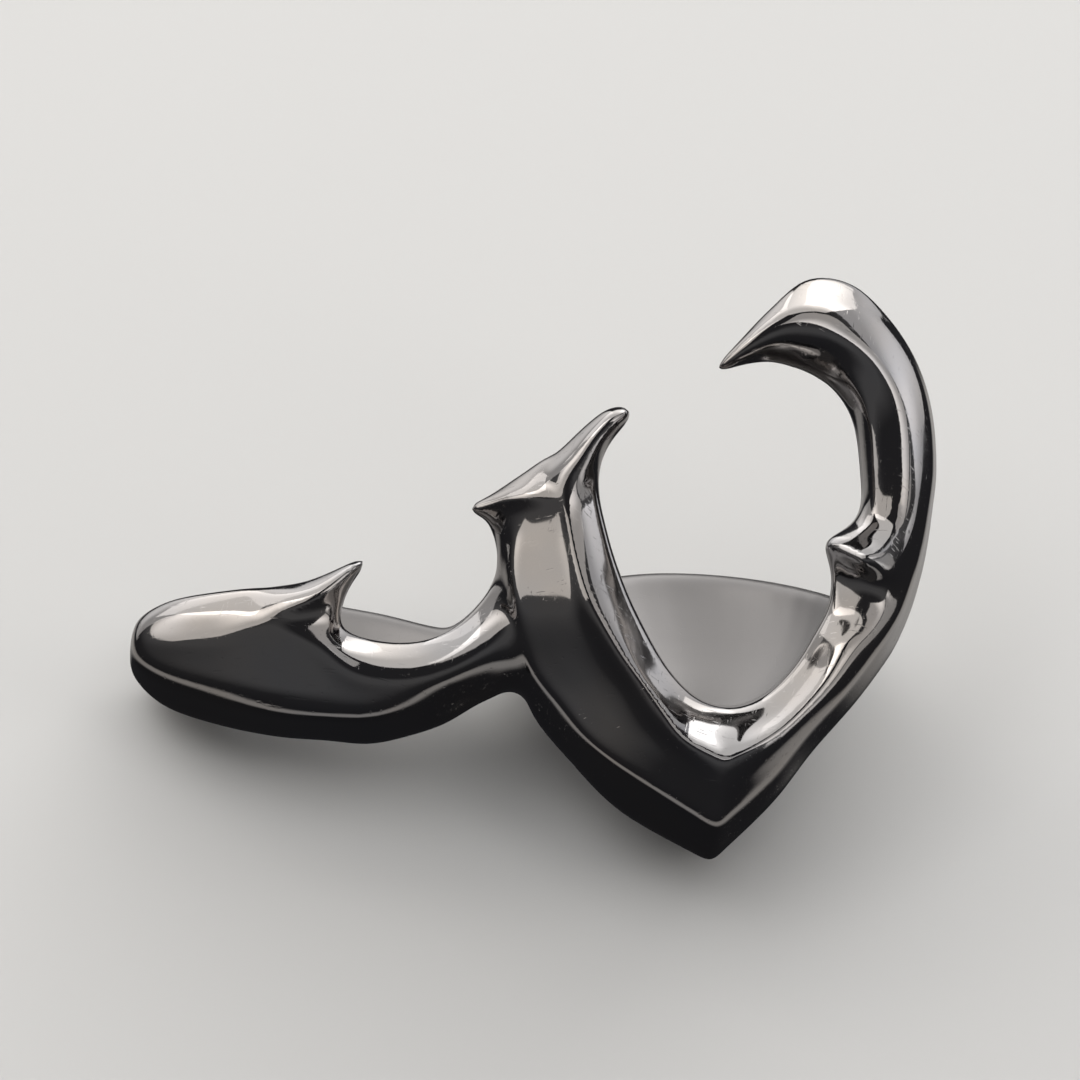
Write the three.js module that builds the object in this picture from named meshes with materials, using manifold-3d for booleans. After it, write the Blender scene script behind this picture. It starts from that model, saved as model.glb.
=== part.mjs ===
// A fang grill: one polished casting worn over an upper canine and the lateral incisor beside it.
// Seen from the front it is a thorned open frame around the canine's face, drawn out below into a
// fang, with a bar that carries a leaf-shaped wing along the incisor's biting edge. Behind, a plain
// backing follows both teeth, which go in from the gum side.
//
// It is modelled as worn, in millimetres: +X from the incisor towards the canine, +Y into the mouth
// and +Z towards the gum. The last group turns it from there to the way it lies on a table.
import * as THREE from "three";
import { mergeVertices } from "three/addons/utils/BufferGeometryUtils.js";
import Module from "manifold-3d";

const wasm = await Module();
wasm.setup();

// Driving dimensions
const PARTING = 1.5; // how far behind the teeth's faces the backing begins
const STATIONS_PER_RIB = 8; // sections of the mesh between two ribs of a limb's table
const RINGS_PER_ROW = 3; // rings of the mesh between two rows of a tooth's table
const RING_SIDES = 32;

// The faces of the two teeth, as arcs seen from the biting edge, bridged between the teeth
const CANINE_FACE = { x: -0.6, y: -0.1, radius: 4.7 };
const LATERAL_FACE = { x: -6.0, y: 0.3, radius: 8 };
const FACE_BRIDGE = 0.6;
const FACE_LEVEL = 2.5; // the height at which the faces stand furthest forward
const FACE_LEVEL_RADIUS = 14;

// Rows of numbers under named columns
function table(columns, ...rows) {
  const names = columns.split(" ");
  return rows.map((row) => Object.fromEntries(names.map((name, i) => [name, row[i]])));
}

// The ribs of the ornament. Each rib crosses a limb from its inner edge to its outer edge over five
// facets: a bevel up to the lip, a slope up to the ridge, a slope down to its foot, the main face as
// far as the crease, and a bevel down to the outer edge. Lip, ridge, foot and crease lie at shares of
// the way across, and all rises are measured from the teeth's faces. depth is how far the rib reaches
// back behind the faces, and tuck the share of its width by which its outer wall leans in there.
const RIB =
  "inX inZ outX outZ inRise lip lipRise ridge ridgeRise foot footRise crease creaseRise outRise depth tuck";

// The mesial limb, from the tip of the spike down beside the window to the tip of the fang
const MESIAL_LIMB = table(
  RIB,
  [-1.27, 3.96, -1.37, 4.12, 0.5, 0.25, 0.58, 0.4, 0.63, 0.55, 0.63, 0.7, 0.6, 0.5, 0.4, 0.1],
  [-1.42, 3.76, -1.72, 4.06, 0.45, 0.2, 0.68, 0.42, 0.85, 0.55, 0.86, 0.72, 0.8, 0.48, 0.5, 0.1],
  [-1.68, 3.42, -2.1, 3.78, 0.45, 0.2, 0.76, 0.42, 0.98, 0.56, 0.98, 0.72, 0.88, 0.48, 0.6, 0.1],
  [-1.84, 3.03, -2.5, 3.4, 0.48, 0.22, 0.86, 0.42, 1.1, 0.56, 1.1, 0.74, 0.95, 0.5, 0.9, 0.1],
  [-1.86, 2.55, -3, 2.95, 0.45, 0.34, 1.04, 0.5, 1.22, 0.6, 1.2, 0.78, 1.05, 0.5, 1, 0.1],
  [-1.75, 2, -3.55, 2.2, 0.45, 0.235, 1.02, 0.39, 1.28, 0.43, 1.12, 0.82, 0.98, 0.5, 1.3, 0.1],
  [-1.57, 1.35, -3.7, 1.4, 0.5, 0.19, 1.06, 0.34, 1.42, 0.38, 1.26, 0.88, 1.1, 0.5, 1.8, 0.1],
  [-1.3, 0.65, -3.65, 0.45, 0.55, 0.13, 1.05, 0.3, 1.58, 0.42, 1.4, 0.88, 1.26, 0.5, 2.2, 0.08],
  [-0.95, -0.05, -3.35, -0.62, 0.6, 0.1, 1.06, 0.255, 1.66, 0.43, 1.33, 0.9, 1.16, 0.5, 2.2, 0.05],
  [-0.6, -0.62, -3.05, -1.45, 0.7, 0.09, 1.15, 0.215, 1.8, 0.395, 1.4, 0.79, 1.22, 0.45, 2, 0.04],
  [-0.2, -1.05, -2.45, -2.2, 0.85, 0.09, 1.28, 0.245, 2, 0.44, 1.6, 0.785, 1.4, 0.5, 1.8, 0.04],
  [0.15, -1.24, -1.45, -3.2, 0.95, 0.105, 1.42, 0.315, 2.17, 0.4, 1.97, 0.72, 1.65, 0.6, 1.6, 0.04],
  [0.5, -1.3, 0.15, -4.1, 1.05, 0.13, 1.5, 0.33, 2.25, 0.5, 2.15, 0.76, 1.95, 1.2, 1.3, 0.1],
);

// The distal limb, from the tip of the fang up beside the window, past the barb on its inner edge, to
// the horn and its claw
const DISTAL_LIMB = table(
  RIB,
  [0.5, -1.3, 0.15, -4.1, 1.05, 0.13, 1.5, 0.33, 2.25, 0.5, 2.15, 0.76, 1.95, 1.2, 1.3, 0.1],
  [0.85, -1.22, 1.25, -3.05, 1, 0.2, 1.47, 0.38, 2.15, 0.55, 2, 0.78, 1.65, 0.8, 1.6, 0.04],
  [1.25, -0.98, 2, -2.1, 0.85, 0.28, 1.42, 0.45, 1.95, 0.58, 1.87, 0.78, 1.55, 0.6, 1.8, 0.04],
  [1.68, -0.52, 2.8, -1.2, 0.7, 0.28, 1.27, 0.45, 1.75, 0.6, 1.7, 0.78, 1.45, 0.5, 2, 0.04],
  [2.03, 0.05, 3.4, -0.4, 0.6, 0.2, 1.07, 0.42, 1.55, 0.6, 1.53, 0.78, 1.35, 0.45, 2, 0.06],
  [2.27, 0.5, 3.62, 0, 0.5, 0.16, 0.8, 0.42, 1.26, 0.62, 1.4, 0.82, 1.27, 0.4, 1.7, 0.08],
  [2.34, 0.98, 3.76, 0.32, 0.45, 0.16, 0.64, 0.4, 1.02, 0.64, 1.32, 0.86, 1.22, 0.4, 1.5, 0.1],
  [2.27, 1.38, 3.86, 0.58, 0.45, 0.14, 0.62, 0.4, 1.1, 0.64, 1.38, 0.88, 1.2, 0.4, 1.3, 0.12],
  [2.22, 1.67, 3.95, 0.88, 0.5, 0.1, 0.8, 0.4, 1.62, 0.66, 1.58, 0.9, 1.2, 0.4, 1.15, 0.15],
  [2.6, 1.93, 4.08, 1.42, 0.45, 0.16, 0.98, 0.48, 1.54, 0.7, 1.46, 0.91, 1.14, 0.4, 1.05, 0.18],
  [2.88, 2.2, 4.19, 2.15, 0.3, 0.14, 0.84, 0.53, 1.4, 0.74, 1.31, 0.92, 1.06, 0.4, 1, 0.2],
  [2.88, 2.95, 4.28, 3, 0.2, 0.14, 0.82, 0.55, 1.35, 0.75, 1.27, 0.93, 1.03, 0.4, 1, 0.2],
  [2.75, 3.85, 4.2, 4.05, 0.15, 0.18, 0.82, 0.57, 1.33, 0.76, 1.25, 0.93, 1.01, 0.4, 1, 0.2],
  [2.4, 4.4, 3.92, 4.95, 0.15, 0.25, 0.82, 0.56, 1.3, 0.75, 1.22, 0.92, 0.98, 0.4, 1, 0.2],
  [2, 4.68, 3.4, 5.75, 0.15, 0.3, 0.82, 0.5, 1.22, 0.68, 1.19, 0.86, 0.98, 0.4, 1, 0.2],
  [1.6, 4.82, 2.72, 6.36, 0.15, 0.26, 0.8, 0.42, 1.08, 0.55, 1.13, 0.67, 1.13, 0.4, 0.9, 0.2],
  [1.2, 4.9, 1.92, 6.44, 0.18, 0.22, 0.72, 0.34, 0.92, 0.46, 0.99, 0.59, 1.02, 0.38, 0.8, 0.2],
  [0.78, 4.86, 1.22, 5.88, 0.22, 0.2, 0.62, 0.33, 0.76, 0.46, 0.82, 0.61, 0.86, 0.36, 0.7, 0.15],
  [0.47, 4.78, 0.65, 5.28, 0.3, 0.2, 0.52, 0.33, 0.61, 0.48, 0.65, 0.65, 0.66, 0.36, 0.5, 0.1],
  [0.2, 4.7, 0.24, 4.83, 0.36, 0.25, 0.43, 0.4, 0.48, 0.55, 0.49, 0.7, 0.46, 0.36, 0.3, 0.1],
);

// The wing and the bar that carries it, from the wing's blunt end into the mesial limb, where the bar
// reaches back between the two teeth
const WING = table(
  RIB,
  [-10.24, 0.2, -10.33, -0.2, 0.3, 0.2, 0.5, 0.45, 0.6, 0.65, 0.58, 0.8, 0.5, 0.25, 1.6, 0.1],
  [-10, 0.42, -10.28, -0.75, 0.4, 0.16, 0.78, 0.38, 0.95, 0.66, 0.92, 0.8, 0.75, 0.15, 1.7, 0.1],
  [-9.5, 0.64, -9.72, -1.3, 0.45, 0.14, 0.9, 0.37, 1.08, 0.66, 1.02, 0.77, 0.85, 0.08, 1.8, 0.1],
  [-8.7, 0.78, -8.75, -1.64, 0.45, 0.15, 0.93, 0.33, 1.14, 0.68, 1.05, 0.8, 0.85, 0.03, 2, 0.1],
  [-7.8, 0.85, -7.7, -1.85, 0.45, 0.14, 0.95, 0.22, 1.17, 0.7, 1.04, 0.835, 0.85, 0, 2, 0.1],
  [-7, 0.68, -6.8, -1.92, 0.45, 0.16, 0.95, 0.3, 1.15, 0.7, 1.02, 0.83, 0.88, 0, 2, 0.1],
  [-6.42, 0.1, -6, -1.98, 0.4, 0.16, 0.9, 0.34, 1.15, 0.66, 1.02, 0.77, 0.9, 0, 2, 0.1],
  [-5.8, -0.1, -5.3, -1.84, 0.4, 0.2, 0.9, 0.37, 1.15, 0.6, 1.05, 0.72, 0.9, 0, 2, 0.1],
  [-5.1, -0.1, -4.65, -1.62, 0.4, 0.21, 0.9, 0.37, 1.15, 0.52, 1.08, 0.62, 0.9, 0.1, 2, 0.1],
  [-4.5, 0.13, -4.05, -1.27, 0.4, 0.22, 0.9, 0.4, 1.15, 0.52, 1.1, 0.62, 0.95, 0.2, 2, 0.1],
  [-4, 0.58, -3.5, -1, 0.4, 0.22, 0.9, 0.42, 1.15, 0.55, 1.1, 0.66, 0.98, 0.3, 2.8, 0.1],
  [-3.68, 1.12, -2.95, -0.6, 0.4, 0.22, 0.85, 0.42, 1.1, 0.56, 1.06, 0.7, 0.95, 0.4, 3, 0.1],
  [-3.4, 1.7, -2.4, 0, 0.35, 0.22, 0.75, 0.42, 0.95, 0.56, 0.93, 0.72, 0.88, 0.4, 2.6, 0.1],
);

// The two thorns, each from inside its limb to its tip
const SIDE_THORN = table(
  RIB,
  [-2.15, 3.3, -2.9, 0.9, 0.4, 0.2, 0.75, 0.36, 1.12, 0.46, 1.05, 0.75, 1, 0.4, 1.2, 0.1],
  [-2.7, 3.24, -3.5, 1.15, 0.45, 0.16, 0.88, 0.36, 1.3, 0.46, 1.13, 0.75, 1.05, 0.42, 1.2, 0.1],
  [-3.2, 2.93, -3.7, 1.55, 0.48, 0.15, 0.84, 0.33, 1.22, 0.5, 0.92, 0.78, 0.72, 0.45, 1, 0.1],
  [-3.6, 2.66, -3.78, 1.9, 0.48, 0.15, 0.77, 0.32, 1.05, 0.52, 0.8, 0.8, 0.62, 0.45, 0.7, 0.1],
  [-3.92, 2.46, -3.94, 2.1, 0.48, 0.15, 0.68, 0.35, 0.88, 0.55, 0.7, 0.8, 0.58, 0.47, 0.4, 0.1],
  [-4.19, 2.34, -4.18, 2.2, 0.5, 0.2, 0.6, 0.42, 0.66, 0.57, 0.64, 0.75, 0.58, 0.5, 0.1, 0.1],
);
const WING_THORN = table(
  RIB,
  [-8.5, 0.78, -7.1, -0.7, 0.4, 0.16, 0.7, 0.34, 1.12, 0.5, 0.98, 0.8, 0.9, 0.4, 1, 0.1],
  [-7.8, 0.86, -6.6, -0.2, 0.45, 0.17, 0.96, 0.345, 1.22, 0.5, 1.03, 0.8, 0.95, 0.5, 1, 0.1],
  [-7.2, 0.95, -6.5, 0.2, 0.48, 0.18, 0.96, 0.36, 1.2, 0.55, 0.9, 0.82, 0.75, 0.5, 1, 0.1],
  [-6.77, 1.1, -6.46, 0.55, 0.47, 0.2, 0.86, 0.4, 1.06, 0.58, 0.82, 0.82, 0.65, 0.48, 0.8, 0.1],
  [-6.42, 1.26, -6.3, 0.92, 0.46, 0.2, 0.73, 0.42, 0.88, 0.6, 0.74, 0.82, 0.58, 0.46, 0.6, 0.1],
  [-6.08, 1.41, -6.03, 1.29, 0.45, 0.25, 0.57, 0.42, 0.62, 0.58, 0.6, 0.75, 0.54, 0.45, 0.3, 0.1],
);

// The crowns of the teeth, by height: how far back their face and their inner side lie, and their
// width. Each tooth has its own place and its own turn in the arch.
const CROWN = "z face inner width";
const CANINE = table(
  CROWN,
  [10.0, 1.2, 7.4, 5.4],
  [7.0, 0.45, 8.0, 6.3],
  [4.5, 0.1, 8.1, 6.9],
  [2.5, 0.0, 7.3, 7.0],
  [1.0, 0.1, 6.0, 6.6],
  [-0.2, 0.4, 4.8, 5.4],
  [-1.1, 0.8, 3.8, 3.7],
  [-1.8, 1.2, 3.1, 1.9],
  [-2.1, 1.7, 2.5, 0.5],
);
const FANG = table(
  CROWN,
  [10.0, 0.4, 8.2, 7.0],
  [7.0, -0.35, 8.8, 7.9],
  [4.5, -0.7, 8.9, 8.5],
  [2.5, -0.8, 8.1, 8.6],
  [1.0, -0.7, 6.8, 7.9],
  [-0.2, -0.4, 5.7, 6.9],
  [-1.1, -0.1, 4.8, 5.7],
  [-2.2, 0.2, 3.6, 4.0],
  [-3.2, 0.4, 2.3, 1.9],
  [-3.8, 0.5, 1.3, 0.5],
);
const LATERAL = table(
  CROWN,
  [10.0, 1.2, 5.6, 4.4],
  [7.0, 0.6, 6.2, 5.2],
  [4.5, 0.2, 5.7, 6.0],
  [2.5, 0.0, 4.4, 6.5],
  [1.0, 0.05, 3.1, 6.5],
  [0.0, 0.15, 2.3, 6.3],
  [-0.6, 0.35, 1.9, 5.6],
  [-0.9, 0.7, 1.5, 4.6],
);
const LATERAL_CAP = table(
  CROWN,
  [10.0, 0.4, 6.4, 6.0],
  [7.0, -0.2, 7.0, 6.8],
  [4.5, -0.6, 6.5, 7.4],
  [2.5, -0.8, 5.2, 7.7],
  [1.0, -0.75, 3.9, 7.6],
  [0.0, -0.65, 3.2, 7.3],
  [-0.7, -0.4, 2.8, 6.3],
  [-1.25, 0.1, 2.3, 4.6],
);
const CANINE_PLACE = { x: 0.4, y: 0.05, turn: 0.26 };
const LATERAL_PLACE = { x: -7.0, y: 0.4, turn: -0.16 };
const CROWN_SQUARENESS = 2.4; // exponent of the superellipse that a crown's section is
const CROWN_TAPER = 0.3; // share of its width that a crown loses towards its inner side

// The backing's edge on the gum side, lower between the teeth
const GUM_EDGE = table(
  "x z",
  [-11.5, -0.6],
  [-9.4, 0.35],
  [-7.6, 0.6],
  [-6.0, 0.4],
  [-4.6, 0.1],
  [-3.6, 0.2],
  [-2.6, 0.8],
  [-0.6, 1.1],
  [2.0, 0.8],
  [4.8, -0.2],
);
const REACH = 16; // half the size of the cutters
const PARTING_STEP = 1; // spacing of the points of the line where the backing begins
const GUM_EDGE_SEGMENTS = 6; // between two points of the gum edge

// The direction, as worn, that points up when the piece lies on a table
const RESTING_UP = new THREE.Vector3(0.122, -0.7485, 0.6519).normalize();

const metal = new THREE.MeshStandardMaterial({ color: 0x6a686b, roughness: 0.12, metalness: 1 });

// Every column of a table, at a share t of the way down its rows, on a Catmull-Rom curve
function sample(rows, t) {
  const place = t * (rows.length - 1);
  const first = Math.min(Math.floor(place), rows.length - 2);
  const u = place - first;
  const near = [-1, 0, 1, 2].map((k) => rows[THREE.MathUtils.clamp(first + k, 0, rows.length - 1)]);
  const blend = (name) => {
    const [a, b, c, d] = near.map((row) => row[name]);
    return b + 0.5 * u * (c - a + u * (2 * a - 5 * b + 4 * c - d + u * (3 * (b - c) + d - a)));
  };
  return Object.fromEntries(Object.keys(rows[0]).map((name) => [name, blend(name)]));
}

// Rows evenly between a table's own, with its first and its last
function samples(rows, perRow) {
  const count = (rows.length - 1) * perRow;
  return Array.from({ length: count + 1 }, (_, i) => sample(rows, i / count));
}

// How far back the teeth's faces lie, with the gap between the teeth bridged
function faceDepth(x, z) {
  const [a, b] = [CANINE_FACE, LATERAL_FACE].map((f) => f.y + (x - f.x) ** 2 / (2 * f.radius));
  const near = Math.max(FACE_BRIDGE - Math.abs(a - b), 0);
  const across = Math.min(a, b) - near ** 2 / (4 * FACE_BRIDGE);
  return across + (z - FACE_LEVEL) ** 2 / (2 * FACE_LEVEL_RADIUS);
}

// One section of a limb, from the back of its inner wall over its top to the back of its outer wall
function ribRing(rib) {
  const at = (share, rise) => {
    const x = THREE.MathUtils.lerp(rib.inX, rib.outX, share);
    const z = THREE.MathUtils.lerp(rib.inZ, rib.outZ, share);
    return new THREE.Vector3(x, faceDepth(x, z) - rise, z);
  };
  return [
    at(0, -rib.depth),
    at(0, rib.inRise),
    at(rib.lip, rib.lipRise),
    at(rib.ridge, rib.ridgeRise),
    at(rib.foot, rib.footRise),
    at(rib.crease, rib.creaseRise),
    at(1, rib.outRise),
    at(1 - rib.tuck, -rib.depth),
  ];
}

// One level of a crown, a superellipse that narrows towards the inner side
function crownRing({ z, face, inner, width }) {
  const power = 2 / CROWN_SQUARENESS;
  const bow = (s) => Math.sign(s) * Math.abs(s) ** power;
  return Array.from({ length: RING_SIDES }, (_, i) => {
    const angle = (2 * Math.PI * i) / RING_SIDES;
    const back = (1 - bow(Math.cos(angle))) / 2;
    const x = (width / 2) * bow(Math.sin(angle)) * (1 - CROWN_TAPER * back ** 2);
    return new THREE.Vector3(x, THREE.MathUtils.lerp(face, inner, back), z);
  });
}

// A closed surface through rings of equal numbers of points, with a fan over each end
function loft(rings) {
  const sides = rings[0].length;
  const middle = (ring) => ring.reduce((sum, p) => sum.add(p), new THREE.Vector3()).divideScalar(sides);
  const points = [...rings.flat(), middle(rings[0]), middle(rings.at(-1))];
  const [startTip, endTip] = [points.length - 2, points.length - 1];
  const lastRing = (rings.length - 1) * sides;
  const faces = [];
  for (let i = 0; i < sides; i++) {
    const j = (i + 1) % sides;
    for (let base = 0; base < lastRing; base += sides) {
      faces.push(base + i, base + j, base + sides + j, base + i, base + sides + j, base + sides + i);
    }
    faces.push(startTip, j, i, endTip, lastRing + i, lastRing + j);
  }
  return new THREE.BufferGeometry().setFromPoints(points).setIndex(faces);
}

// A geometry as a solid that can be joined and cut, with its faces turned outwards
function solidOf(geometry) {
  const bare = geometry.clone();
  bare.deleteAttribute("normal");
  bare.deleteAttribute("uv");
  const merged = mergeVertices(bare);
  const build = (triVerts) =>
    new wasm.Manifold(new wasm.Mesh({ numProp: 3, vertProperties: merged.attributes.position.array, triVerts }));
  const triangles = new Uint32Array(merged.index.array);
  const made = build(triangles);
  return made.volume() < 0 ? build(triangles.reverse()) : made;
}

function geometryOf(solid) {
  const { vertProperties, triVerts } = solid.getMesh();
  const geometry = new THREE.BufferGeometry();
  geometry.setAttribute("position", new THREE.BufferAttribute(vertProperties, 3));
  geometry.setIndex(new THREE.BufferAttribute(triVerts, 1));
  geometry.computeVertexNormals();
  return geometry;
}

// A limb from one table, or from several that meet in a corner
function limb(...tables) {
  const rings = tables.map((ribs) => samples(ribs, STATIONS_PER_RIB).map(ribRing));
  return solidOf(loft(rings.flatMap((run, i) => (i ? run.slice(1) : run))));
}

function crown(rows, place) {
  const rings = samples(rows, RINGS_PER_ROW).map(crownRing);
  return solidOf(loft(rings).rotateZ(place.turn).translate(place.x, place.y, 0));
}

// Everything in front of the line, seen from the biting edge, where the backing begins
function frontCutter() {
  const outline = new THREE.Shape().moveTo(-REACH, -REACH);
  for (let x = -REACH; x <= REACH; x += PARTING_STEP) {
    outline.lineTo(x, Math.min(faceDepth(x, FACE_LEVEL) + PARTING, REACH));
  }
  outline.lineTo(REACH, -REACH);
  const geometry = new THREE.ExtrudeGeometry(outline, { depth: 2 * REACH, bevelEnabled: false });
  return solidOf(geometry.translate(0, 0, -REACH));
}

// Everything above the backing's edge on the gum side
function gumCutter() {
  const edge = GUM_EDGE.map(({ x, z }) => new THREE.Vector2(x, z));
  const outline = new THREE.Shape().moveTo(edge[0].x, edge[0].y);
  outline.splineThru(edge.slice(1));
  outline.lineTo(REACH, edge.at(-1).y).lineTo(REACH, REACH).lineTo(-REACH, REACH).lineTo(-REACH, edge[0].y);
  const options = { depth: 2 * REACH, bevelEnabled: false, curveSegments: GUM_EDGE_SEGMENTS };
  const geometry = new THREE.ExtrudeGeometry(outline, options);
  return solidOf(geometry.rotateX(Math.PI / 2).translate(0, REACH, 0));
}

function ornament() {
  return limb(MESIAL_LIMB, DISTAL_LIMB)
    .add(limb(WING))
    .add(limb(SIDE_THORN))
    .add(limb(WING_THORN));
}

function backing() {
  return crown(FANG, CANINE_PLACE)
    .add(crown(LATERAL_CAP, LATERAL_PLACE))
    .subtract(frontCutter())
    .subtract(gumCutter());
}

const grillSolid = backing()
  .add(ornament())
  .subtract(crown(CANINE, CANINE_PLACE))
  .subtract(crown(LATERAL, LATERAL_PLACE));

const grill = new THREE.Mesh(geometryOf(grillSolid), metal);
grill.name = "fang_grill";

// Lying by itself it rests on the wing's lower edge, the back of the fang's tip and the backing's rim
const lying = new THREE.Group();
lying.name = "lying";
lying.add(grill);
const ahead = new THREE.Vector3(0, 1, 0).projectOnPlane(RESTING_UP).normalize();
const aside = new THREE.Vector3().crossVectors(ahead, RESTING_UP);
lying.setRotationFromMatrix(new THREE.Matrix4().makeBasis(aside, ahead, RESTING_UP).transpose());
lying.updateMatrixWorld(true);
const bounds = new THREE.Box3().setFromObject(lying, true);
const middle = bounds.getCenter(new THREE.Vector3());
lying.position.set(-middle.x, -middle.y, -bounds.min.z);

const root = new THREE.Group();
root.add(lying);

export default root;
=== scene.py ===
"""The fang grill in mirror-polished dark metal, lying on a pale table under soft studio light."""
import math
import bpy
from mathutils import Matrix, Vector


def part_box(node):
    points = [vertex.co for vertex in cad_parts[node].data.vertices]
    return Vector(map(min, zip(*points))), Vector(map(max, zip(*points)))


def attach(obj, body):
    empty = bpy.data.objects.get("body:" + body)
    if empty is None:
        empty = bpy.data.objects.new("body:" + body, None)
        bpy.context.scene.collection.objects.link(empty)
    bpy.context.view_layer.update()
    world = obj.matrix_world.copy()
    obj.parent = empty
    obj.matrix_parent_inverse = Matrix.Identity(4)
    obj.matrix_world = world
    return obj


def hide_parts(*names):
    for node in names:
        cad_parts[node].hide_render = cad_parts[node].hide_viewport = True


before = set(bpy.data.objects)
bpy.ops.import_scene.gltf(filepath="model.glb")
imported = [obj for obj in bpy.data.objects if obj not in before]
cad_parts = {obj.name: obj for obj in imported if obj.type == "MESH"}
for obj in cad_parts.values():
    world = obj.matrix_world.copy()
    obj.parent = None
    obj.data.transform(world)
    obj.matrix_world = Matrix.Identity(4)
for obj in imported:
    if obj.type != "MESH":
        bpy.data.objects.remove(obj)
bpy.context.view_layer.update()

import bpy
import numpy as np
from mathutils import Matrix, Vector
from mathutils.bvhtree import BVHTree

MM = 0.001

# How the piece lies: the direction, as worn, that points up from the table
RESTING_UP = Vector((0.122, -0.7485, 0.6519)).normalized()

# The polished skin: the cells of its grid in millimetres, and in cells how far from the metal distances
# are measured and how widely they are blurred, which rounds the edges and fills the inner corners
SKIN_CELL = 0.0675
SKIN_BAND = 6
EDGE_BLUR = 1.0
FILLET_BLUR = 3.5
BLUR_REACH = 3  # of a blur's widths
SKIN_MARGIN = 11  # cells of the grid beyond the metal
RAY_STEP = 1e-4  # millimetres past one surface, to look for the next
# The net laid over that grid: the corners and the axes of the grid's squares, the corners of its cells
# and of the net's faces, how deep in cells it is filled where the metal would only touch itself, the
# passes of filling and of settling, and how far of the way to its neighbours' mean a point is rubbed
SQUARE_CORNERS = ((0, 0), (1, 0), (1, 1), (0, 1))
SQUARE_AXES = ((0, 1), (1, 2), (2, 0))
CELL_CORNERS = tuple(np.ndindex(2, 2, 2))
FACE_CORNERS = 4
JOIN_DEPTH = 0.05
JOIN_PASSES = 3
NET_PASSES = 4
RUB_WEIGHT = 0.5
# The polishing of its facets: the spread of normals that counts as one facet, and the passes
FACET_SPREAD = 0.25
FACET_PASSES = 10
FIT_PASSES = 10
EDGE_PASSES = 1
# Points whose faces' normals add up to less than this share lie on a sharp edge, which is evened along;
# then the passes that widen the strip where the shading follows the blurred distances
SHARP_SHARE = 0.985
ALONG_PASSES = 10
STRIP_PASSES = 3
STRIP_FULL = 0.25

# The two pockets for the teeth, as worn, in millimetres: the middle of each, measured from the wing's
# end, the foremost point and the tip of the fang; then half its width and half its depth. Inside them the
# metal is satin and painted darker as shade, fading out between two shares of that oval, and between two
# turns towards its middle.
POCKETS = {
    "canine": (10.7, 5.25, 5.6, 3.5, 3.65),
    "lateral": (3.3, 4.0, 5.1, 3.3, 2.2),
}
POCKET_EDGE = (0.9, 1.05)
POCKET_FACING = (0.1, 0.4)

# The camera looks at the face of the grill squarely, as worn, through a long lens
LENS_MM = 400.0
SENSOR_MM = 36.0
FRAME_WIDTH_MM = 19.5
CLIP_SHARES = (0.05, 10.0)  # of the camera's distance, the nearest and the farthest that it sees

# The metal: warm and cool tones of the polished face, and the satin inside that no wheel reaches, coloured
# darker there as painted shade
WARM_METAL = (0.375, 0.352, 0.335, 1.0)
COOL_METAL = (0.335, 0.33, 0.335, 1.0)
SATIN_SHADED_METAL = (0.2, 0.195, 0.195, 1.0)
POLISH_ROUGHNESS = (0.03, 0.12)
SCRATCH_ROUGHNESS = 0.1
SATIN_ROUGHNESS = 0.4
# How deep its faint peel, its hairline scratches and its pits are
PEEL_MM = 0.002
SCRATCH_MM = 0.0009
PIT_MM = 0.0015
# The noise behind each, as scale, in waves to a millimetre, and detail; the two ways in which scratches
# are drawn out; the pits' scale; and the limits between which each of them comes in
TONE_NOISE = (0.45, 3.0)
HAZE_NOISE = (1.3, 4.0)
PEEL_NOISE = (1.6, 1.0)
SCRATCH_NOISE = (1.0, 2.0)
SCRATCH_STRETCHES = ((2.0, 26.0, 5.0), (24.0, 3.0, 9.0))
PIT_SCALE = 2.0
TONE_LIMITS = (0.35, 0.65)
HAZE_LIMITS = (0.3, 0.7)
SCRATCH_LIMITS = (0.66, 0.74)
PIT_LIMITS = (0.02, 0.05)
WHOLE = (0.0, 1.0)

FLOOR_COLOUR = (0.58, 0.58, 0.575, 1.0)
FLOOR_ROUGHNESS = 0.6
FLOOR_REACH_MM = 600.0
# The dim surroundings that the metal mirrors, by height of the direction looked in
SURROUNDINGS = {
    -0.8: (0.02, 0.02, 0.022, 1.0),
    -0.74: (0.42, 0.405, 0.39, 1.0),
    -0.65: (0.42, 0.405, 0.39, 1.0),
    -0.58: (0.025, 0.025, 0.028, 1.0),
    -0.25: (0.035, 0.035, 0.038, 1.0),
    0.1: (0.12, 0.12, 0.123, 1.0),
    0.4: (0.125, 0.125, 0.128, 1.0),
    0.7: (0.035, 0.035, 0.038, 1.0),
}

# The softboxes: degrees right of the camera and above it, seen from the grill; distance, width and
# height in millimetres; then brightness and colour
SOFTBOXES = {
    "top": (0, 98, 120, 220, 160, 2.3, (1.0, 0.98, 0.95)),
    "left": (-52, 31, 120, 150, 140, 1.8, (1.0, 0.96, 0.91)),
    "front right": (54, 18, 120, 90, 150, 1.35, (1.0, 0.97, 0.94)),
    "right": (122, 36, 120, 170, 110, 1.2, (0.98, 0.98, 1.0)),
    "low right": (88, -14, 120, 80, 45, 0.9, (1.0, 0.98, 0.96)),
    "back left": (-132, 36, 120, 110, 110, 1.0, (1.0, 0.98, 0.96)),
    "fill": (0, 30, 260, 300, 240, 2.2, (1.0, 1.0, 1.0)),
}
NOT_MIRRORED = {"fill"}
# A softbox fades from its middle, in shares of its sides, to this far from it, between two levels
SOFTBOX_MIDDLE = (0.5, 0.5, 0.0)
SOFTBOX_FADE_REACH = 0.65
SOFTBOX_LEVELS = (1.4, 0.5)


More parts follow.
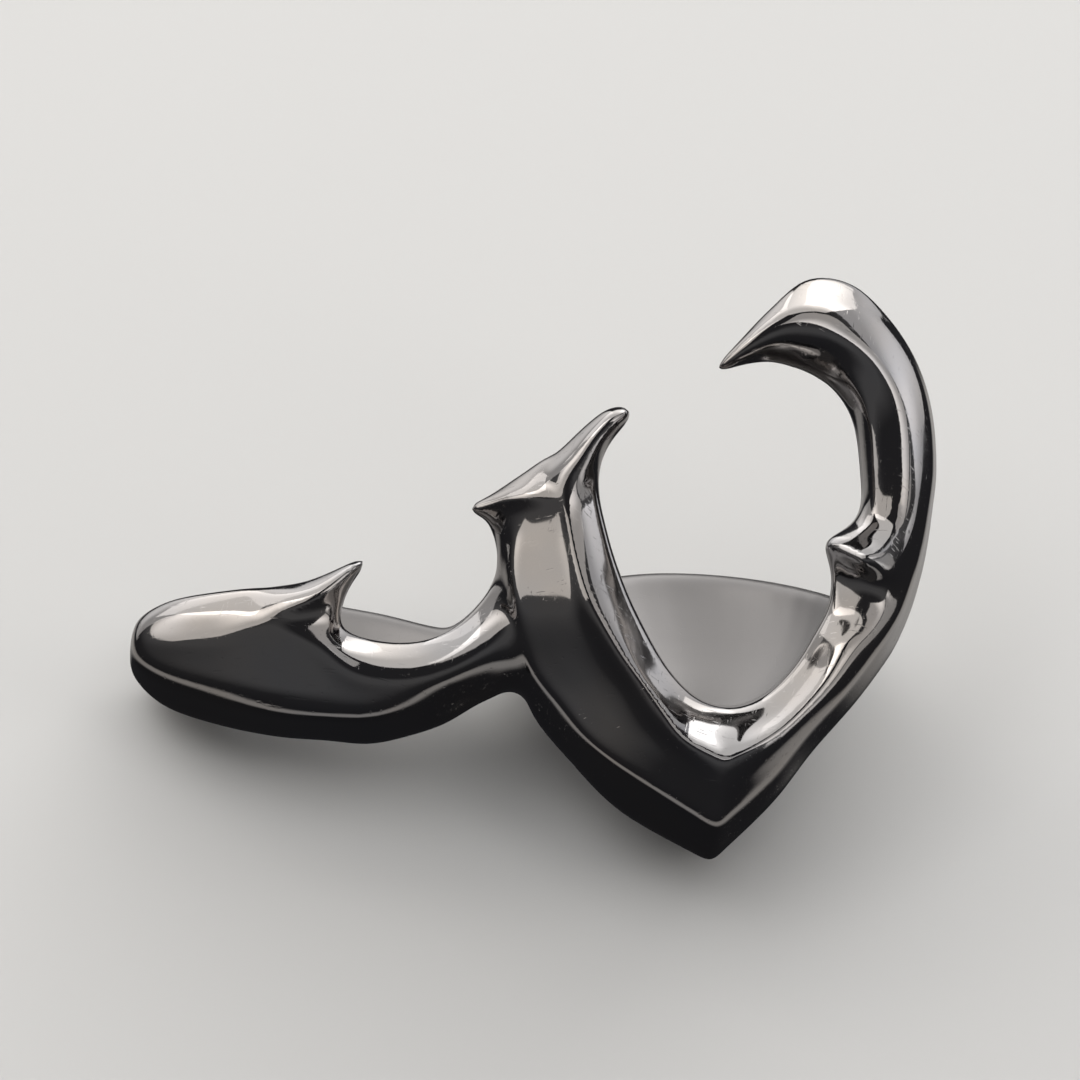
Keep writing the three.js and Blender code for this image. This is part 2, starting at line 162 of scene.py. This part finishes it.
def worn_axes():
    """The directions, in the row frame, of right, into the mouth and towards the gum as worn."""
    ahead = (Vector((0, 1, 0)) - RESTING_UP * RESTING_UP.y).normalized()
    aside = ahead.cross(RESTING_UP)
    turn = Matrix((aside, ahead, RESTING_UP))
    return turn @ Vector((1, 0, 0)), turn @ Vector((0, 1, 0)), turn @ Vector((0, 0, 1))


def read(items, field, width, kind=np.float64):
    """One field of a mesh's items as an array."""
    values = np.empty(len(items) * width, kind)
    items.foreach_get(field, values)
    return values.reshape(-1, width) if width > 1 else values


def summed(index, values, count):
    """The rows of values added up by index."""
    return np.stack([np.bincount(index, column, count) for column in values.T], axis=1)


def rubbed(values, edges, weight):
    """Each vertex's row of values moved by a weight of the way to the mean of its neighbours'."""
    count = len(values)
    start, end = edges.T
    total = summed(start, values[end], count) + summed(end, values[start], count)
    degree = np.bincount(edges.ravel(), minlength=count)[:, None]
    mean = np.where(degree, total / np.maximum(degree, 1), values)
    return values + weight * (mean - values)


def unit(rows):
    """Rows of the same direction and of length 1."""
    return rows / np.linalg.norm(rows, axis=1, keepdims=True)


def facet_normals(points, corners):
    """The normal of each four-sided face, square to both its diagonals."""
    first, second, third, fourth = (points[column] for column in corners.T)
    return unit(np.cross(third - first, fourth - second))


def evened(normals, neighbours):
    """Normals blended with their neighbours' where these belong to the same facet."""
    left, right = neighbours.T
    gap = ((normals[left] - normals[right]) ** 2).sum(axis=1)
    share = np.exp(-gap / (2 * FACET_SPREAD**2))[:, None]
    count = len(normals)
    total = normals + summed(left, share * normals[right], count)
    return unit(total + summed(right, share * normals[left], count))


def fitted(points, corners, normals):
    """Points moved towards the planes of the faces round them."""
    vertex = corners.ravel()
    face = np.repeat(np.arange(len(corners)), corners.shape[1])
    centres = points[corners].mean(axis=1)
    height = ((centres[face] - points[vertex]) * normals[face]).sum(axis=1)
    moves = summed(vertex, height[:, None] * normals[face], len(points))
    return points + moves / np.bincount(vertex, minlength=len(points))[:, None]


def sharp_edges(points, corners, edges):
    """The edges of the mesh that run along the sharp edges of the metal."""
    vertex = corners.ravel()
    normals = np.repeat(facet_normals(points, corners), corners.shape[1], axis=0)
    total = np.linalg.norm(summed(vertex, normals, len(points)), axis=1)
    sharp = total < SHARP_SHARE * np.bincount(vertex, minlength=len(points))
    return edges[sharp[edges].all(axis=1)]


def filled(tree, lines):
    """Which points of a grid lie in the solid, by the surfaces crossed on the way up to them."""
    inside = np.zeros([len(line) for line in lines], bool)
    up = Vector((0, 0, 1))
    for i, x in enumerate(lines[0]):
        for j, y in enumerate(lines[1]):
            hit = tree.ray_cast(Vector((x, y, lines[2][0])), up)[0]
            while hit:
                inside[i, j] ^= lines[2] > hit.z
                hit = tree.ray_cast(hit + up * RAY_STEP, up)[0]
    return inside


def grown(mask, steps):
    """A mask over a grid, wider by a number of cells."""
    for _ in range(steps):
        wider = mask.copy()
        for axis in range(3):
            wider |= np.roll(mask, 1, axis) | np.roll(mask, -1, axis)
        mask = wider
    return mask


def distances(tree, lines):
    """Signed distances from the solid's surface over a grid, in cells, exact only near the surface."""
    inside = filled(tree, lines)
    near = grown(inside, SKIN_BAND) & grown(~inside, SKIN_BAND)
    field = np.full(inside.shape, float(SKIN_BAND))
    for place in np.argwhere(near):
        point = Vector([line[i] for line, i in zip(lines, place)])
        _, _, _, gap = tree.find_nearest(point)
        field[tuple(place)] = min(gap / SKIN_CELL, SKIN_BAND)
    return np.where(inside, -field, field)


def blurred(field, width):
    """A field smoothed by a bell curve of a width in cells."""
    reach = math.ceil(BLUR_REACH * width)
    shifts = np.arange(-reach, reach + 1)
    weights = np.exp(-(shifts**2) / (2 * width**2))
    weights /= weights.sum()
    for axis in range(3):
        field = sum(weight * np.roll(field, shift, axis) for shift, weight in zip(shifts, weights))
    return field


def joined(field):
    """The field, filled a little where the metal would meet itself only along an edge of the grid."""
    field = field.copy()
    for _ in range(JOIN_PASSES):
        for axes in SQUARE_AXES:
            below = field < 0
            first, second, third, fourth = (np.roll(below, (-a, -b), axes) for a, b in SQUARE_CORNERS)
            crossed = (first == third) & (second == fourth) & (first != second)
            for corner in SQUARE_CORNERS:
                place = np.roll(crossed, corner, axes)
                field[place] = np.minimum(field[place], -JOIN_DEPTH)
    return field


def sampled(field, places):
    """A field between the points of its grid."""
    base = np.floor(places).astype(int)
    share = places - base
    total = np.zeros(len(places))
    for corner in CELL_CORNERS:
        weight = np.where(corner, share, 1 - share).prod(axis=1)
        total += weight * field[tuple((base + corner).T)]
    return total


def slopes(field, places):
    """How steeply the field rises along each axis, over half a cell to either side of each place."""
    steps = np.eye(3) / 2
    return np.stack([sampled(field, places + s) - sampled(field, places - s) for s in steps], axis=1)


def settled(field, places):
    """Places moved along the field's slope to where it is nought."""
    slope = slopes(field, places)
    length = (slope**2).sum(axis=1)[:, None]
    return places - sampled(field, places)[:, None] * slope / length


def net(field):
    """Places and faces of a net of four-sided faces where the field changes sign, one place to a cell."""
    below = field < 0
    inside = np.zeros(field.shape, int)
    for corner in CELL_CORNERS:
        inside += np.roll(below, [-step for step in corner], (0, 1, 2))
    cells = np.argwhere((inside > 0) & (inside < len(CELL_CORNERS)))
    index = np.zeros(field.shape, int)
    index[tuple(cells.T)] = np.arange(len(cells))
    faces = []
    for axis in range(3):
        edges = np.argwhere(below ^ np.roll(below, -1, axis))
        first, second = np.eye(3, dtype=int)[[axis - 2, axis - 1]]
        ring = (edges - first - second, edges - second, edges, edges - first)
        quads = np.stack([index[tuple(cell.T)] for cell in ring], axis=1)
        entering = ~below[tuple(edges.T)]
        quads[entering] = quads[entering][:, ::-1]
        faces.append(quads)
    return cells + 0.5, np.concatenate(faces)


def rounded_copy(node, name):
    """A copy of a CAD node, in millimetres, of small even faces and with its edges rounded.

    Returns it with the field of distances that it follows and the lowest corner of that field's grid.
    """
    source = node.data
    points = read(source.vertices, "co", 3) / MM
    source.calc_loop_triangles()
    triangles = read(source.loop_triangles, "vertices", 3, np.int32)
    tree = BVHTree.FromPolygons(points.tolist(), triangles.tolist())
    low = points.min(axis=0) - SKIN_MARGIN * SKIN_CELL
    counts = np.ceil(np.ptp(points, axis=0) / SKIN_CELL).astype(int) + 2 * SKIN_MARGIN
    lines = [start + SKIN_CELL * np.arange(count) for start, count in zip(low, counts)]
    field = distances(tree, lines)
    field = joined(np.minimum(blurred(field, EDGE_BLUR), blurred(field, FILLET_BLUR)))
    places, faces = net(field)
    mesh = bpy.data.meshes.new(name)
    mesh.from_pydata(places.tolist(), [], faces.tolist())
    edges = read(mesh.edges, "vertices", 2, np.int32)
    for _ in range(NET_PASSES):
        places = settled(field, rubbed(places, edges, RUB_WEIGHT))
    mesh.vertices.foreach_set("co", (low + SKIN_CELL * settled(field, places)).ravel())
    return bpy.data.objects.new(name, mesh), field, low


def eased(values, start, end):
    """How far values have come from a start to an end, from 0 to 1, without a kink."""
    share = np.clip((values - start) / (end - start), 0, 1)
    return share * share * (3 - 2 * share)


def pocket_satin_and_shade(points, normals):
    """How far each point belongs to the inside of a pocket: within its oval and facing its middle."""
    axes = np.array(worn_axes()).T
    places = points @ axes
    places -= places.min(axis=0)
    facing = normals @ axes
    inside = np.zeros(len(points))
    for across, back, up, half_width, half_depth in POCKETS.values():
        way = np.array((across, back, up)) - places
        oval = (way[:, 0] / half_width) ** 2 + (way[:, 1] / half_depth) ** 2
        towards = (unit(way) * facing).sum(axis=1)
        share = (1 - eased(oval, *POCKET_EDGE)) * eased(towards, *POCKET_FACING)
        inside = np.maximum(inside, share)
    return inside


def polished(points, edges, corners, neighbours):
    """The points with their facets evened and their edges just broken.

    Returns them with the edges of the mesh that run along sharp edges.
    """
    low, high = points.min(axis=0), points.max(axis=0)
    normals = facet_normals(points, corners)
    for _ in range(FACET_PASSES):
        normals = evened(normals, neighbours)
    for _ in range(FIT_PASSES):
        points = fitted(points, corners, normals)
    along = sharp_edges(points, corners, edges)
    for _ in range(ALONG_PASSES):
        points = rubbed(points, along, RUB_WEIGHT)
    for _ in range(EDGE_PASSES):
        points = rubbed(points, edges, RUB_WEIGHT)
    return np.clip(points, low, high), along


def edge_strip(count, edges, along):
    """How far each point belongs to the strip round a sharp edge."""
    strip = np.zeros((count, 1))
    strip[along.ravel()] = 1
    for _ in range(STRIP_PASSES):
        strip = rubbed(strip, edges, RUB_WEIGHT)
    return eased(strip, 0, STRIP_FULL)


def polished_skin(node, name):
    """A fine skin of the CAD solid, shaded along its sharp edges by the distances that it follows."""
    skin, field, corner = rounded_copy(node, name)
    bpy.context.scene.collection.objects.link(skin)
    mesh = skin.data
    edges = read(mesh.edges, "vertices", 2, np.int32)
    corners = read(mesh.loops, "vertex_index", 1, np.int32).reshape(-1, FACE_CORNERS)
    # Each edge lies between two faces, and a face's loops follow each other
    by_edge = np.argsort(read(mesh.loops, "edge_index", 1, np.int32), kind="stable")
    neighbours = by_edge.reshape(-1, 2) // FACE_CORNERS
    points, along = polished(read(mesh.vertices, "co", 3), edges, corners, neighbours)
    mesh.vertices.foreach_set("co", points.ravel())
    mesh.polygons.foreach_set("use_smooth", np.ones(len(mesh.polygons), bool))
    mesh.update()
    strip = edge_strip(len(points), edges, along)
    smooth = unit(slopes(field, (points - corner) / SKIN_CELL))
    outward = unit((1 - strip) * read(mesh.vertex_normals, "vector", 3) + strip * smooth)
    # The pockets' inside: satin, and coloured darker as painted shade
    inside = mesh.attributes.new("pocket_satin_and_shade", "FLOAT", "POINT")
    inside.data.foreach_set("value", pocket_satin_and_shade(points, outward))
    mesh.transform(Matrix.Scale(MM, 4))
    mesh.normals_split_custom_set_from_vertices(outward.tolist())
    return skin


def new_material(name):
    """A material and its shader."""
    material = bpy.data.materials.new(name)
    material.use_nodes = True
    return material, material.node_tree.nodes["Principled BSDF"]


class Graph:
    """A material's nodes, added and linked by name of socket."""

    def __init__(self, material):
        self.tree = material.node_tree
        where = self.add("ShaderNodeTexCoord")
        self.place = where.outputs["Object"]

    def add(self, kind, settings=None, **sockets):
        """A node with settings of its own and, by name of socket, either a value or a link."""
        node = self.tree.nodes.new(kind)
        for name, value in (settings or {}).items():
            setattr(node, name, value)
        for name, value in sockets.items():
            socket = node.inputs[name.replace("_", " ")]
            if isinstance(value, bpy.types.NodeSocket):
                self.tree.links.new(value, socket)
            else:
                socket.default_value = value
        return node

    def in_mm(self, stretch=(1.0, 1.0, 1.0)):
        """Places on the object in millimetres, each axis times its stretch."""
        scale = [share / MM for share in stretch]
        return self.add("ShaderNodeMapping", Vector=self.place, Scale=scale).outputs["Vector"]

    def noise(self, vector, scale, detail):
        node = self.add("ShaderNodeTexNoise", Vector=vector, Scale=scale, Detail=detail)
        return node.outputs["Fac"]

    def spread(self, value, limits, results=WHOLE):
        """A value between two limits, spread evenly between two results."""
        sockets = {"From_Min": limits[0], "From_Max": limits[1], "To_Min": results[0], "To_Max": results[1]}
        return self.add("ShaderNodeMapRange", Value=value, **sockets).outputs["Result"]

    def math(self, operation, first, second):
        node = self.add("ShaderNodeMath", {"operation": operation})
        self.tree.links.new(first, node.inputs[0])
        self.tree.links.new(second, node.inputs[1])
        return node.outputs["Value"]

    def mix(self, factor, first, second):
        node = self.add("ShaderNodeMix", {"data_type": "RGBA"})
        self.tree.links.new(factor, node.inputs["Factor"])
        for name, value in (("A", first), ("B", second)):
            socket = next(s for s in node.inputs if s.name == name and s.type == "RGBA")
            if isinstance(value, bpy.types.NodeSocket):
                self.tree.links.new(value, socket)
            else:
                socket.default_value = value
        return next(s for s in node.outputs if s.type == "RGBA")

    def bump(self, height, depth_mm, normal=None):
        sockets = {"Height": height, "Distance": depth_mm * MM}
        if normal:
            sockets["Normal"] = normal
        return self.add("ShaderNodeBump", **sockets).outputs["Normal"]


def polished_metal():
    """Dark polished silver: soft shifts of tone, wheel haze, hairlines, pits, and satin inside, coloured
    darker there as painted shade.
    """
    material, shader = new_material("polished_metal")
    graph = Graph(material)
    even = graph.in_mm()
    ways = [graph.in_mm(stretch) for stretch in SCRATCH_STRETCHES]
    scratches = graph.math("MAXIMUM", *(graph.noise(way, *SCRATCH_NOISE) for way in ways))
    scratch = graph.spread(scratches, SCRATCH_LIMITS)
    pit_cells = graph.add("ShaderNodeTexVoronoi", Vector=even, Scale=PIT_SCALE, Randomness=1.0)
    pit = graph.spread(pit_cells.outputs["Distance"], PIT_LIMITS)

    tone = graph.spread(graph.noise(even, *TONE_NOISE), TONE_LIMITS)
    satin_and_shade = graph.add("ShaderNodeAttribute", {"attribute_name": "pocket_satin_and_shade"}).outputs["Fac"]
    colour = graph.mix(tone, WARM_METAL, COOL_METAL)
    # Painted shade: the pockets' inside is coloured darker where the satin lies
    colour = graph.mix(satin_and_shade, colour, SATIN_SHADED_METAL)

    polish = graph.spread(graph.noise(even, *HAZE_NOISE), HAZE_LIMITS, POLISH_ROUGHNESS)
    polish = graph.math("ADD", polish, graph.spread(scratch, WHOLE, (0.0, SCRATCH_ROUGHNESS)))
    cast = graph.spread(satin_and_shade, WHOLE, (0.0, SATIN_ROUGHNESS))
    roughness = graph.math("MAXIMUM", polish, cast)

    normal = graph.bump(graph.noise(even, *PEEL_NOISE), PEEL_MM)
    normal = graph.bump(scratch, -SCRATCH_MM, normal)
    normal = graph.bump(pit, PIT_MM, normal)

    shader.inputs["Metallic"].default_value = 1.0
    graph.tree.links.new(colour, shader.inputs["Base Color"])
    graph.tree.links.new(roughness, shader.inputs["Roughness"])
    graph.tree.links.new(normal, shader.inputs["Normal"])
    return material


def pale_floor():
    """The table that the grill lies on, which the metal doesn't mirror."""
    material, shader = new_material("pale_floor")
    shader.inputs["Base Color"].default_value = FLOOR_COLOUR
    shader.inputs["Roughness"].default_value = FLOOR_ROUGHNESS
    mesh = bpy.data.meshes.new("floor")
    reach = FLOOR_REACH_MM * MM
    corners = [(-reach, -reach, 0), (reach, -reach, 0), (reach, reach, 0), (-reach, reach, 0)]
    mesh.from_pydata(corners, [], [(0, 1, 2, 3)])
    mesh.materials.append(material)
    floor = bpy.data.objects.new("floor", mesh)
    bpy.context.scene.collection.objects.link(floor)
    floor.visible_glossy = False


def dim_surroundings():
    """A dim studio, darkest overhead and below the table's level but for one low pale band."""
    world = bpy.data.worlds.new("studio")
    bpy.context.scene.world = world
    world.use_nodes = True
    nodes, links = world.node_tree.nodes, world.node_tree.links
    where = nodes.new("ShaderNodeTexCoord")
    split = nodes.new("ShaderNodeSeparateXYZ")
    shift = nodes.new("ShaderNodeMapRange")
    shift.inputs["From Min"].default_value = -1.0
    ramp = nodes.new("ShaderNodeValToRGB")
    stops = ramp.color_ramp.elements
    while len(stops) < len(SURROUNDINGS):
        stops.new(1.0)
    for stop, (height, colour) in zip(stops, SURROUNDINGS.items()):
        stop.position = (height + 1) / 2
        stop.color = colour
    links.new(where.outputs["Generated"], split.inputs["Vector"])
    links.new(split.outputs["Z"], shift.inputs["Value"])
    links.new(shift.outputs["Result"], ramp.inputs["Fac"])
    links.new(ramp.outputs["Color"], nodes["Background"].inputs["Color"])


def soften(light):
    """Lets a softbox fade from its middle towards its edges."""
    light.use_nodes = True
    nodes, links = light.node_tree.nodes, light.node_tree.links
    where = nodes.new("ShaderNodeNewGeometry")
    split = nodes.new("ShaderNodeSeparateXYZ")
    upward = nodes.new("ShaderNodeMath")
    join = nodes.new("ShaderNodeCombineXYZ")
    reach = nodes.new("ShaderNodeVectorMath")
    reach.operation = "DISTANCE"
    reach.inputs[1].default_value = SOFTBOX_MIDDLE
    fade = nodes.new("ShaderNodeMapRange")
    fade.interpolation_type = "SMOOTHSTEP"
    fade.inputs["From Max"].default_value = SOFTBOX_FADE_REACH
    fade.inputs["To Min"].default_value = SOFTBOX_LEVELS[0]
    fade.inputs["To Max"].default_value = SOFTBOX_LEVELS[1]
    # The parametric Y runs across the rectangle, and X and Y together run up it
    links.new(where.outputs["Parametric"], split.inputs["Vector"])
    links.new(split.outputs["X"], upward.inputs[0])
    links.new(split.outputs["Y"], upward.inputs[1])
    links.new(split.outputs["Y"], join.inputs["X"])
    links.new(upward.outputs["Value"], join.inputs["Y"])
    links.new(join.outputs["Vector"], reach.inputs[0])
    links.new(reach.outputs["Value"], fade.inputs["Value"])
    links.new(fade.outputs["Result"], nodes["Emission"].inputs["Strength"])


def softbox(name, place, width, height, level, colour, aim):
    """A rectangular lamp that faces its aim, as bright to look at as its level."""
    light = bpy.data.lights.new(name, "AREA")
    light.shape = "RECTANGLE"
    light.size = width * MM
    light.size_y = height * MM
    light.color = colour
    light.energy = level * math.pi * light.size * light.size_y
    soften(light)
    lamp = bpy.data.objects.new(name, light)
    lamp.location = place
    lamp.rotation_euler = (aim - place).to_track_quat("-Z", "Y").to_euler()
    lamp.visible_glossy = name not in NOT_MIRRORED
    bpy.context.scene.collection.objects.link(lamp)


def look_from(aim, right, up):
    """A long-lens camera square to the picture's right and up."""
    data = bpy.data.cameras.new("camera")
    data.lens = LENS_MM
    data.sensor_width = SENSOR_MM
    back = right.cross(up)
    distance = FRAME_WIDTH_MM * MM * LENS_MM / SENSOR_MM
    data.clip_start, data.clip_end = (share * distance for share in CLIP_SHARES)
    camera = bpy.data.objects.new("camera", data)
    place = aim + back * distance
    camera.matrix_world = Matrix.Translation(place) @ Matrix((right, up, back)).transposed().to_4x4()
    bpy.context.scene.collection.objects.link(camera)
    bpy.context.scene.camera = camera


def studio_lights(aim, right, inward, up):
    """The softboxes, all facing the aim."""
    for name, (aside, above, distance, width, height, level, colour) in SOFTBOXES.items():
        turn, rise = math.radians(aside), math.radians(above)
        level_way = right * math.sin(turn) - inward * math.cos(turn)
        way = level_way * math.cos(rise) + up * math.sin(rise)
        softbox(name, aim + way * distance * MM, width, height, level, colour, aim)


right, inward, gumward = worn_axes()
low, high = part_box("fang_grill")
middle = (Vector(low) + Vector(high)) / 2
look_from(middle, right, gumward)

grill = polished_skin(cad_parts["fang_grill"], "polished_grill")
grill.data.materials.append(polished_metal())
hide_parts("fang_grill")
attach(grill, "root")

pale_floor()
studio_lights(middle, right, inward, gumward)
dim_surroundings()
bpy.context.scene.view_settings.view_transform = "Standard"
